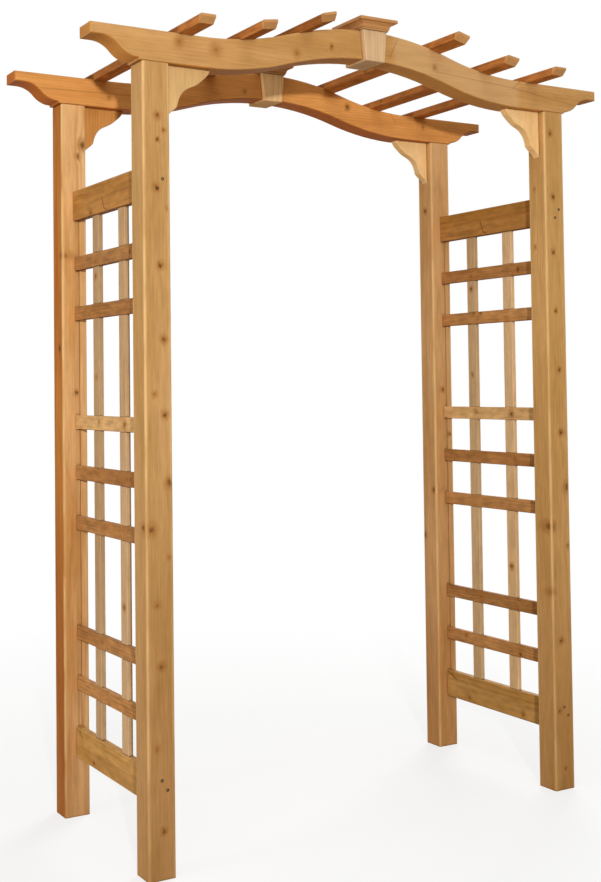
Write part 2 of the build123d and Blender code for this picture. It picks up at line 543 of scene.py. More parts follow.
    def ring_tone(self) -> Source:
        """Late wood of the year rings, from 0 to 1, bent by slow waves of the trunk and round the knots.

        Returns:
            The tone.
        """
        tree = self.tree
        wave = self.drawn_noise(self.wave_streak, "Color")
        swing = add_node(tree, "ShaderNodeVectorMath", {0: wave, 1: (0.5, 0.5, 0.5)}, operation="SUBTRACT")
        offset = (self.look.pith[0], self.look.pith[1], 0.0)
        from_pith = add_node(tree, "ShaderNodeVectorMath", {0: self.place, 1: offset}, operation="ADD")
        bent = add_node(
            tree, "ShaderNodeVectorMath",
            {0: swing, 1: (self.finish.wander_mm,) * 3, 2: from_pith}, operation="MULTIPLY_ADD",
        )
        trunk = add_node(
            tree, "ShaderNodeVectorMath",
            {0: bent, 1: (1.0, 1.0, self.trunk_taper_share)}, operation="MULTIPLY",
        )
        radius = add_node(tree, "ShaderNodeVectorMath", {0: trunk}, operation="LENGTH")
        if self.knots is not None:
            spread = add_node(
                tree, "ShaderNodeMath", {0: self.knots, 1: self.knots, 2: 1.0}, operation="MULTIPLY_ADD"
            )
            push = add_node(
                tree, "ShaderNodeMath",
                {0: self.finish.ring_mm * self.knot_push_rings, 1: spread}, operation="DIVIDE",
            )
            radius = add_node(tree, "ShaderNodeMath", {0: radius, 1: push}, operation="ADD")
        # Real rings are 2 to 4 mm wide, so they are drawn coarser, to show at the render's size
        turns = add_node(tree, "ShaderNodeMath", {0: radius, 1: self.finish.ring_mm}, operation="DIVIDE")
        phase = add_node(tree, "ShaderNodeMath", {0: turns}, operation="FRACT")
        ramp = add_node(tree, "ShaderNodeValToRGB", {"Fac": phase})
        set_stops(ramp, self.ring_stops)
        fading = add_node(
            tree, "ShaderNodeMapRange",
            {"Value": self.drawn_noise(self.fading_streak), "From Min": self.fading_low,
             "From Max": self.fading_high, "To Min": self.fading_least, "To Max": 1.0},
        )
        return add_node(tree, "ShaderNodeMath", {0: ramp, 1: fading}, operation="MULTIPLY")

    def wood_colour(self, ring: Source, fibre: Source) -> Source:
        """Clear wood: stain that took unevenly, darker late wood, fibre streaks and small mottles.

        Args:
            ring: Late wood, from 0 to 1.
            fibre: Fibre noise.

        Returns:
            The colour.
        """
        tree = self.tree
        patch = add_node(
            tree, "ShaderNodeMapRange",
            {"Value": self.drawn_noise(self.patch_streak), "From Min": self.patch_low,
             "From Max": self.patch_high},
        )
        stained = add_node(
            tree, "ShaderNodeMix",
            {MIX_FACTOR: patch, MIX_FIRST: linear(self.finish.body), MIX_SECOND: linear(self.finish.pale)},
            data_type="RGBA",
        )
        late = add_node(tree, "ShaderNodeMath", {0: ring, 1: self.finish.ring_share}, operation="MULTIPLY")
        colour = add_node(
            tree, "ShaderNodeMix",
            {MIX_FACTOR: late, MIX_FIRST: stained, MIX_SECOND: linear(self.finish.late)}, data_type="RGBA",
        )
        mottle = self.drawn_noise(self.mottle_streak)
        tones = [
            add_node(
                tree, "ShaderNodeMapRange",
                {"Value": noise, "From Min": self.noise_low, "From Max": self.noise_high,
                 "To Min": 1 - share, "To Max": 1 + share},
            )
            for noise, share in ((fibre, self.finish.fibre_share), (mottle, self.finish.mottle_share))
        ]
        tone = add_node(tree, "ShaderNodeMath", {0: tones[0], 1: tones[1]}, operation="MULTIPLY")
        if self.board is not None:
            tone = self.board_tone(tone)
        if self.look.pale_board is not None:
            colour = self.pale_boarded_colour(colour)
        return add_node(tree, "ShaderNodeVectorMath", {0: colour, "Scale": tone}, operation="SCALE")

    def pale_boarded_colour(self, colour: Source) -> Source:
        """Leave one board nearly bare.

        Args:
            colour: Colour before.

        Returns:
            Colour after.
        """
        chosen = add_node(
            self.tree, "ShaderNodeMath",
            {0: self.board, 1: float(self.look.pale_board), 2: 0.5}, operation="COMPARE",
        )
        cover = add_node(
            self.tree, "ShaderNodeMath", {0: chosen, 1: self.pale_board_share}, operation="MULTIPLY"
        )
        return add_node(
            self.tree, "ShaderNodeMix",
            {MIX_FACTOR: cover, MIX_FIRST: colour, MIX_SECOND: linear(self.finish.rubbed)}, data_type="RGBA",
        )

    def board_tone(self, tone: Source) -> Source:
        """Make each board a little darker or paler than the next.

        Args:
            tone: Brightness before.

        Returns:
            Brightness after.
        """
        draw = add_node(self.tree, "ShaderNodeTexWhiteNoise", {"W": self.board}, noise_dimensions="1D")
        share = add_node(
            self.tree, "ShaderNodeMapRange",
            {"Value": draw, "To Min": 1 - self.board_tone_share, "To Max": 1 + self.board_tone_share},
        )
        return add_node(self.tree, "ShaderNodeMath", {0: tone, 1: share}, operation="MULTIPLY")

    def knot_cover(self, near: float, far: float, share: float) -> Source:
        """How far a knot's halo or heart covers a place, with a soft edge.

        Args:
            near: Distance at which it is full.
            far: Distance at which it is gone.
            share: Cover where it is full.

        Returns:
            The cover.
        """
        return add_node(
            self.tree, "ShaderNodeMapRange",
            {"Value": self.knots, "From Min": near, "From Max": far, "To Min": share, "To Max": 0.0},
            interpolation_type="SMOOTHSTEP",
        )

    def seam_cover(self, seam: Seam) -> Source:
        """How far one glue line or crack covers a place.

        Args:
            seam: The line.

        Returns:
            The cover.
        """
        tree = self.tree
        lengthwise = self.turn.transposed() @ Vector((0, 0, 1))
        upright = Vector((0, 0, 1))
        start, end = [
            lengthwise * along + upright * (height - self.middle.z)
            for along, height in (seam.start, seam.end)
        ]
        run = (end - start).normalized()
        normal = run.cross(lengthwise.cross(upright))
        half_length = (end - start).length / 2
        away = add_node(
            tree, "ShaderNodeVectorMath",
            {0: self.place, 1: self.turn @ ((start + end) / 2)}, operation="SUBTRACT",
        )
        distances = []
        for direction in (normal, run):
            part = add_node(
                tree, "ShaderNodeVectorMath", {0: away, 1: self.turn @ direction}, operation="DOT_PRODUCT"
            )
            distances.append(add_node(tree, "ShaderNodeMath", {0: part}, operation="ABSOLUTE"))
        line = add_node(
            tree, "ShaderNodeMapRange",
            {"Value": distances[0], "From Min": self.seam_near_mm, "From Max": self.seam_far_mm,
             "To Min": seam.tone, "To Max": 0.0},
        )
        within = add_node(
            tree, "ShaderNodeMapRange",
            {"Value": distances[1], "From Min": half_length - self.seam_end_mm,
             "From Max": half_length + self.seam_end_mm, "To Min": 1.0, "To Max": 0.0},
        )
        return add_node(tree, "ShaderNodeMath", {0: line, 1: within}, operation="MULTIPLY")

    def dark_face_cover(self) -> Source:
        """How far a place faces the way of a face that gets painted shade, or, on the beams' ends, darker end
        grain.

        Returns:
            The cover.
        """
        normal = add_node(self.tree, "ShaderNodeNewGeometry").outputs["Normal"]
        nearest = None
        for face in self.look.dark_faces:
            facing = add_node(
                self.tree, "ShaderNodeVectorMath", {0: normal, 1: face.value}, operation="DOT_PRODUCT"
            )
            if nearest is not None:
                facing = add_node(self.tree, "ShaderNodeMath", {0: nearest, 1: facing}, operation="MAXIMUM")
            nearest = facing
        return add_node(
            self.tree, "ShaderNodeMapRange",
            {"Value": nearest, "From Min": self.dark_from_cosine, "From Max": self.dark_to_cosine},
        )

    def corner_nearness(self) -> Source:
        """How near a place is to a post's long rounded corners, from 0 to 1.

        Returns:
            The nearness.
        """
        tree = self.tree
        apart = add_node(tree, "ShaderNodeVectorMath", {0: self.place}, operation="ABSOLUTE")
        parts = add_node(tree, "ShaderNodeSeparateXYZ", {"Vector": apart})
        total = add_node(
            tree, "ShaderNodeMath", {0: parts.outputs["X"], 1: parts.outputs["Y"]}, operation="ADD"
        )
        corner = self.half.x + self.half.y
        return add_node(
            tree, "ShaderNodeMapRange",
            {"Value": total, "From Min": corner - self.corner_far_mm,
             "From Max": corner - self.corner_near_mm},
            interpolation_type="SMOOTHSTEP",
        )

    def edge_nearness(self) -> Source:
        """How near a place is to a sharp edge of any run, from 0 to 1.

        Returns:
            The nearness.
        """
        soft = add_node(
            self.tree, "ShaderNodeBevel", {"Radius": self.edge_mm * MM}, samples=self.edge_samples
        )
        sharp = add_node(self.tree, "ShaderNodeNewGeometry")
        agreement = add_node(
            self.tree, "ShaderNodeVectorMath",
            {0: soft, 1: sharp.outputs["True Normal"]}, operation="DOT_PRODUCT",
        )
        return add_node(
            self.tree, "ShaderNodeMapRange",
            {"Value": agreement, "From Min": self.edge_flat_cosine, "From Max": self.edge_sharp_cosine},
        )

    def wear_cover(self, nearness: Source) -> Source:
        """How far edges and corners are made paler, unevenly: painted highlight on the posts' corners, and
        wear with painted highlight along other edges.

        Args:
            nearness: How near a place is to an edge or a corner.

        Returns:
            The cover.
        """
        strength = add_node(
            self.tree, "ShaderNodeMapRange",
            {"Value": self.drawn_noise(self.wear_streak), "From Min": self.wear_low,
             "From Max": self.wear_high, "To Min": self.wear_least, "To Max": self.wear_most},
        )
        return add_node(self.tree, "ShaderNodeMath", {0: nearness, 1: strength}, operation="MULTIPLY")

    def pale_end_cover(self) -> Source:
        """How far a place lies on a cut end, which is painted paler: a painted highlight on the lit end
        facets.

        Returns:
            The cover.
        """
        parts = add_node(self.tree, "ShaderNodeSeparateXYZ", {"Vector": self.place})
        out = add_node(self.tree, "ShaderNodeMath", {0: parts.outputs["Z"]}, operation="ABSOLUTE")
        start = (self.turn @ self.half).z - self.look.pale_end_mm
        return add_node(
            self.tree, "ShaderNodeMapRange",
            {"Value": out, "From Min": start, "From Max": start + self.pale_end_blur_mm,
             "To Max": self.pale_end_share},
        )

    def pale_length_cover(self) -> Source:
        """How far a place lies on the paler length that was glued in.

        Returns:
            The cover.
        """
        start, end = self.look.pale_length
        parts = add_node(self.tree, "ShaderNodeSeparateXYZ", {"Vector": self.place})
        offset = add_node(
            self.tree, "ShaderNodeMath", {0: parts.outputs["Z"], 1: (start + end) / 2}, operation="SUBTRACT"
        )
        out = add_node(self.tree, "ShaderNodeMath", {0: offset}, operation="ABSOLUTE")
        half = (end - start) / 2
        return add_node(
            self.tree, "ShaderNodeMapRange",
            {"Value": out, "From Min": half - self.pale_length_blur_mm,
             "From Max": half + self.pale_length_blur_mm, "To Min": self.pale_length_share, "To Max": 0.0},
        )

    def damp_cover(self) -> Source:
        """How much darker a post is made, from its foot up.

        Returns:
            The cover.
        """
        parts = add_node(self.tree, "ShaderNodeSeparateXYZ", {"Vector": self.place})
        return add_node(
            self.tree, "ShaderNodeMapRange",
            {"Value": parts.outputs["Z"], "From Min": -self.half.z,
             "From Max": self.half.z * self.damp_height_share, "To Min": 1.0, "To Max": 0.0},
        )

    def joint_shade(self, colour: Source) -> Source:
        """Darken the wood in the corners of joints: painted shade where parts meet.

        Args:
            colour: Colour before.

        Returns:
            Colour after.
        """
        corner = add_node(
            self.tree, "ShaderNodeAmbientOcclusion",
            {"Distance": self.joint_mm * MM}, samples=self.joint_samples,
        )
        tone = add_node(
            self.tree, "ShaderNodeMapRange",
            {"Value": corner.outputs["AO"], "From Min": self.joint_closed, "From Max": self.joint_open,
             "To Min": self.joint_tone, "To Max": 1.0},
        )
        return add_node(self.tree, "ShaderNodeVectorMath", {0: colour, "Scale": tone}, operation="SCALE")


def dress(node: str, look: WoodLook, seed: int) -> None:
    """Give a CAD node its wood and log its material's name.

    Args:
        node: The node.
        look: How the piece is cut and finished.
        seed: Number that moves the pattern along.
    """
    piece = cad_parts[node]
    material = WoodMaker(look, node, seed).build()
    piece.data.materials.clear()
    piece.data.materials.append(material)
    LOG.info("%s: %s", node, material.name)


def knots_on(face: Face, *spots: tuple[float, ...]) -> tuple[Knot, ...]:
    """List the knots of one face.

    Args:
        face: The face.
        spots: Place across, height, radius and, where it isn't 1, tone of each knot.

    Returns:
        The knots.
    """
    return tuple(Knot(face, *spot) for spot in spots)


# Planed posts: smooth, with soft broad rings. Each comes from another tree and took the stain its own way
HONEY_POST = StainedSoftwood(
    "planed_fir_honey_stain", "b78b52", "c79b64", "a4763f", ring_share=0.22, fibre_share=0.12
)
OLIVE_POST = StainedSoftwood(
    "planed_fir_dark_honey_stain", "c09255", "cea065", "a4783c", ring_share=0.3, fibre_share=0.12
)
AMBER_POST = StainedSoftwood("planed_fir_amber_stain", "cc9456", "e8bb84", "ad6e33", ring_share=0.5)
ROSE_POST = StainedSoftwood(
    "planed_fir_rose_stain", "c49259", "d6a874", "9f6c3f", damp="ece2da", ring_share=0.4
)
# Glued-up beams, sawn to shape and sanded: quiet grain that breaks at the glue lines
HONEY_BEAM = StainedSoftwood(
    "glued_fir_honey_stain", "b9894e", "ca9a60", "a67640", rubbed="dcb888", ring_share=0.2
)
AMBER_BEAM = StainedSoftwood(
    "glued_fir_amber_stain", "ce8b48", "dd9b55", "aa6830", rubbed="e2ab6a", ring_share=0.28
)
# Rafters left as they came from the saw: dull and dark, with ends painted pale as a painted highlight
AMBER_RAFTER = StainedSoftwood(
    "sawn_fir_amber_stain", "a9662f", "bd7a3e", "7a4318", ring_share=0.5, mottle_share=0.2,
    rubbed="c99a64", stray_knot_gap_mm=240.0, roughness=0.7,
)
# Bandsawn brackets: even, with the two on the right paler, partly as paler stock and partly as painted light
# against the shade under the beams
PALE_BRACKET = StainedSoftwood(
    "bandsawn_fir_pale_stain", "cfa66c", "d8b178", "c0955c", ring_share=0.15, fibre_share=0.06
)
# Paler copy: partly paler stock, partly painted light against the shade under the beams
BLOND_BRACKET = StainedSoftwood(
    "bandsawn_sapwood_fir_pale_stain", "f1c586", "f6ce94", "dcae74", ring_share=0.15, fibre_share=0.06
)
AMBER_BRACKET = StainedSoftwood("bandsawn_fir_amber_stain", "c58543", "d2934f", "a5682f", ring_share=0.25)
# Keystones cut from clear stock, which hardly took the stain, under caps run on a moulding cutter
PALE_BLOCK = StainedSoftwood(
    "sanded_fir_pale_stain", "cca87b", "d6b48a", "b48f62", ring_share=0.25, wander_mm=60.0
)
# Painted light: the back block is made paler, to offset the shade that the front beam throws on it
HONEY_BLOCK = StainedSoftwood(
    "sanded_fir_honey_stain", "daae74", "e4ba84", "bd925c", ring_share=0.25, wander_mm=60.0
)
AMBER_CAP = StainedSoftwood("moulded_fir_amber_stain", "b98450", "c8935e", "98643a", ring_share=0.35)
# Rails and slats from knotty stock: brown and mottled
BROWN_RAIL = StainedSoftwood(
    "planed_fir_brown_stain", "a36e2e", "b88244", "7a4818", ring_share=0.4, fibre_share=0.12,
    mottle_share=0.14, stray_knot_gap_mm=260.0,
)
OLIVE_RAIL = StainedSoftwood(
    "planed_fir_olive_stain", "ad7d3b", "c19153", "845828", ring_share=0.4, fibre_share=0.12,
    mottle_share=0.14, stray_knot_gap_mm=260.0,
)
BROWN_SLAT = StainedSoftwood(
    "ripped_fir_brown_stain", "a36e3a", "b8844f", "744318", ring_share=0.4, fibre_share=0.12,
    mottle_share=0.2, stray_knot_gap_mm=170.0,
)
ROSE_UPRIGHT = StainedSoftwood(
    "ripped_fir_rose_stain", "b28f66", "be9c74", "96714c", ring_share=0.3, mottle_share=0.08
)
PALE_UPRIGHT = StainedSoftwood(
    "ripped_fir_pale_stain", "cba678", "d6b387", "a9835a", ring_share=0.3, mottle_share=0.08
)


@dataclass(frozen=True)
class Post:
    """One post, with the knots of its own tree."""

    node: str
    seed: int
    finish: StainedSoftwood
    knots: tuple[Knot, ...]
    # Faces tinted darker as painted shade, and the tint
    dark_faces: tuple[Face, ...] = ()
    dark_stain: str = "d4ad6c"
    pith: tuple[float, float] = (14.0, -70.0)

    def dress(self) -> None:
        """Give the post its wood."""
        look = WoodLook(
            self.finish, Grain.ALONG_Z, self.pith, self.knots, rubbed_corners=True, damp_foot=True,
            dark_faces=self.dark_faces, dark_stain=self.dark_stain,
        )
        dress(self.node, look, self.seed)


POSTS = (
    Post("front_left_post", 0, HONEY_POST, (
        *knots_on(
            Face.FRONT, (2, 1800, 7, 0.8), (19, 1766, 4), (3, 1742, 4), (-1, 1628, 7, 0.9),
            (28, 1580, 6, 0.4), (8, 1442, 7, 0.9), (15, 1266, 7, 0.9), (-10, 1136, 8, 0.3),
            (16, 1087, 7, 0.9), (28, 925, 9), (-22, 817, 12, 0.7), (24, 750, 7, 0.3), (-8, 639, 9, 0.4),
            (2, 496, 8, 0.7), (-11, 306, 8, 0.4), (5, 113, 6, 0.9),
        ),
        *knots_on(Face.LEFT, (20, 822, 8, 0.9)),
        *knots_on(Face.RIGHT, (0, 1500, 7), (10, 700, 8)),
    )),
    Post("front_right_post", 1, OLIVE_POST, (
        *knots_on(
            Face.FRONT, (-12, 1867, 6), (-5, 1684, 6), (-9, 1525, 6), (-3, 1356, 5), (6, 1188, 6),
            (8, 1009, 7), (29, 853, 10), (-33, 743, 10), (28, 685, 7, 0.7), (-33, 558, 9, 0.6),
            (-6, 419, 7, 0.8), (-17, 221, 6, 0.7), (2, 60, 5, 0.6),
        ),
        *knots_on(Face.LEFT, (-11, 1710, 6, 0.5), (-12, 1542, 6, 0.5)),
        *knots_on(Face.RIGHT, (5, 1210, 8)),
    )),
    Post("back_left_post", 2, AMBER_POST, (
        *knots_on(Face.FRONT, (27, 1821, 11), (12, 1788, 7, 0.7), (4, 1140, 5)),
        *knots_on(Face.LEFT, (12, 1262, 7), (30, 1514, 7)),
        *knots_on(Face.BACK, (-8, 1400, 7), (10, 830, 8)),
        *knots_on(Face.RIGHT, (4, 520, 7)),
    # Painted shade on this post's left face
    ), (Face.LEFT,)),
    Post("back_right_post", 3, ROSE_POST, (
        *knots_on(Face.FRONT, (-2, 1133, 6), (22, 990, 5)),
        *knots_on(Face.LEFT, (24, 812, 7), (-30, 664, 8), (-1, 1711, 6)),
        *knots_on(Face.BACK, (12, 1560, 7), (-6, 640, 8)),
        *knots_on(Face.RIGHT, (-10, 1030, 7)),
    )),
)


@dataclass(frozen=True)
class Beam:
    """One arched beam, glued up from shorter lengths of wood before it was sawn to shape."""

    node: str
    seed: int
    finish: StainedSoftwood
    knots: tuple[Knot, ...]
    seams: tuple[Seam, ...]
    dark_stain: str
    pale_length: tuple[float, float] | None = None
    # Painted shade on faces that turn down or aside, and darker end grain at the ends
    dark_faces: tuple[Face, ...] = (Face.UNDER, Face.LEFT, Face.RIGHT)
    pith: tuple[float, float] = (60.0, 130.0)

    def dress(self) -> None:
        """Give the beam its wood."""
        look = WoodLook(
            self.finish, Grain.ALONG_X, self.pith, self.knots, self.seams,
            rubbed_edges=True, pale_length=self.pale_length, dark_faces=self.dark_faces,
            dark_stain=self.dark_stain,
        )
        dress(self.node, look, self.seed)


BEAMS = (
    Beam("front_beam", 10, HONEY_BEAM, (
        *knots_on(
            Face.FRONT, (-564, 1984, 12, 0.3), (-463, 1978, 14, 0.35), (-232, 1996, 10, 0.4), (-127, 2026, 5),
            (205, 2010, 7, 0.4),
        ),
        *knots_on(Face.BACK, (320, 1990, 8), (-250, 2020, 7)),
    ), (
        Seam((87, 2082), (55, 2018), 0.3), Seam((517, 2015), (478, 1984), 0.35),
        Seam((211, 2000), (478, 1984), 0.2), Seam((478, 1984), (700, 1957), 0.25),
    ), "fce8c4", (71, 497)),
    Beam("back_beam", 11, AMBER_BEAM, (
        *knots_on(
            Face.FRONT, (271, 2012, 7), (-90, 2024, 6, 0.6), (-520, 1960, 6, 0.5), (560, 1975, 6, 0.6)
        ),
        *knots_on(Face.BACK, (140, 2030, 8), (-380, 1985, 8)),
    ), (
        Seam((420, 2030), (455, 1976), 0.3), Seam((-720, 1966), (-330, 1975), 0.25),
    ), "d8b894"),
)


@dataclass(frozen=True)
class RafterSet:
    """The six rafters, sawn from narrow stock."""

    count: int = 6
    first_seed: int = 20
    pith: tuple[float, float] = (34.0, 9.0)
    pale_end_mm: float = 16.0

    def dress(self) -> None:
        """Give each rafter its wood."""
        look = WoodLook(AMBER_RAFTER, Grain.ALONG_Y, self.pith, pale_end_mm=self.pale_end_mm)
        for number in range(1, self.count + 1):
            dress(f"rafter_{number}", look, self.first_seed + number)


@dataclass(frozen=True)
class Bracket:
    """One scrolled corner bracket."""

    node: str
    seed: int
    finish: StainedSoftwood
    pith: tuple[float, float] = (95.0, 30.0)

    def dress(self) -> None:
        """Give the bracket its wood."""
        look = WoodLook(self.finish, Grain.ALONG_Z, self.pith, rubbed_edges=True)
        dress(self.node, look, self.seed)


BRACKETS = (
    Bracket("front_left_bracket", 30, PALE_BRACKET),
    Bracket("front_right_bracket", 31, BLOND_BRACKET),
    Bracket("back_left_bracket", 32, AMBER_BRACKET),
    Bracket("back_right_bracket", 33, BLOND_BRACKET),
)


@dataclass(frozen=True)
class Keystone:
    """A keystone block and its moulded cap."""

    end: str
    seed: int
    block_finish: StainedSoftwood
    block_pith: tuple[float, float] = (20.0, 64.0)
    cap_pith: tuple[float, float] = (50.0, 22.0)

    def dress(self) -> None:
        """Give the block and the cap their wood."""
        block = WoodLook(self.block_finish, Grain.ALONG_Z, self.block_pith)
        cap = WoodLook(AMBER_CAP, Grain.ALONG_X, self.cap_pith)
        dress(f"{self.end}_keystone", block, self.seed)
        dress(f"{self.end}_keystone_cap", cap, self.seed + 1)


class CopyTree(ABC):
    """A Geometry Nodes tree that sets copies of a shape, as one mesh with one material.

    Each kind of tree gives its title, the kinds of its named inputs, and the copies.
    """

    title: str
    inputs: dict[str, str]

    def __init__(self) -> None:
        """Build the tree."""
        self.tree = bpy.data.node_groups.new(self.title, "GeometryNodeTree")
        interface = self.tree.interface
        self.sockets = {
            name: interface.new_socket(name, in_out="INPUT", socket_type=f"NodeSocket{kind}").identifier
            for name, kind in self.inputs.items()
        }
        interface.new_socket("Copies", in_out="OUTPUT", socket_type="NodeSocketGeometry")
        given = add_node(self.tree, "NodeGroupInput").outputs
        real = add_node(self.tree, "GeometryNodeRealizeInstances", {"Geometry": self.copies(given)})
        dressed = add_node(
            self.tree, "GeometryNodeSetMaterial", {"Geometry": real, "Material": given["Material"]}
        )
        add_node(self.tree, "NodeGroupOutput", {"Copies": dressed})

    @abstractmethod
    def copies(self, given: bpy.types.NodeOutputs) -> Source:
        """Set the copies.

        Args:
            given: The tree's inputs, by name.

        Returns:
            The copies, as instances.
        """

    def apply(self, piece: bpy.types.Object, values: dict) -> None:
        """Run the tree on a piece and keep what it makes as the piece's plain mesh.

        Args:
            piece: The piece, whose mesh goes into the tree's first input.
            values: Values of the other inputs, by name.
        """
        modifier = piece.modifiers.new(self.title, "NODES")
        modifier.node_group = self.tree
        for name, value in values.items():
            modifier[self.sockets[name]] = value
        depsgraph = bpy.context.evaluated_depsgraph_get()
        mesh = bpy.data.meshes.new_from_object(piece.evaluated_get(depsgraph), depsgraph=depsgraph)
        mesh.name = piece.name
        piece.modifiers.clear()
        piece.data = mesh


class BoardRepeater(CopyTree):
    """Sets copies of one board in steps, with longer steps between groups."""

    title = "board_rows"
    inputs = {
        "Board": "Geometry", "Count": "Int", "Start": "Vector", "Step": "Vector", "Group Step": "Vector",
        "First Break": "Int", "Second Break": "Int", "First Number": "Int", "Material": "Material",
    }

    def copies(self, given: bpy.types.NodeOutputs) -> Source:
        """Set the boards and number them.

        Args:
            given: The tree's inputs, by name.

        Returns:
            The boards, as instances.
        """
        tree = self.tree
        index = add_node(tree, "GeometryNodeInputIndex")
        breaks = [
            add_node(
                tree, "FunctionNodeCompare", {"A": index, "B": given[name]},
                data_type="FLOAT", operation="GREATER_EQUAL",
            )
            for name in ("First Break", "Second Break")
        ]
        groups = add_node(tree, "ShaderNodeMath", {0: breaks[0], 1: breaks[1]}, operation="ADD")
        stepped = add_node(
            tree, "ShaderNodeVectorMath", {0: given["Step"], "Scale": index}, operation="SCALE"
        )
        grouped = add_node(
            tree, "ShaderNodeVectorMath", {0: given["Group Step"], "Scale": groups}, operation="SCALE"
        )
        run = add_node(tree, "ShaderNodeVectorMath", {0: stepped, 1: grouped}, operation="ADD")
        spot = add_node(tree, "ShaderNodeVectorMath", {0: given["Start"], 1: run}, operation="ADD")
        points = add_node(tree, "GeometryNodePoints", {"Count": given["Count"], "Position": spot})
        copies = add_node(
            tree, "GeometryNodeInstanceOnPoints", {"Points": points, "Instance": given["Board"]}
        )
        number = add_node(tree, "ShaderNodeMath", {0: index, 1: given["First Number"]}, operation="ADD")
        return add_node(
            tree, "GeometryNodeStoreNamedAttribute",
            {"Geometry": copies, "Name": BOARD_NUMBER, "Value": number}, data_type="FLOAT", domain="INSTANCE",
        )


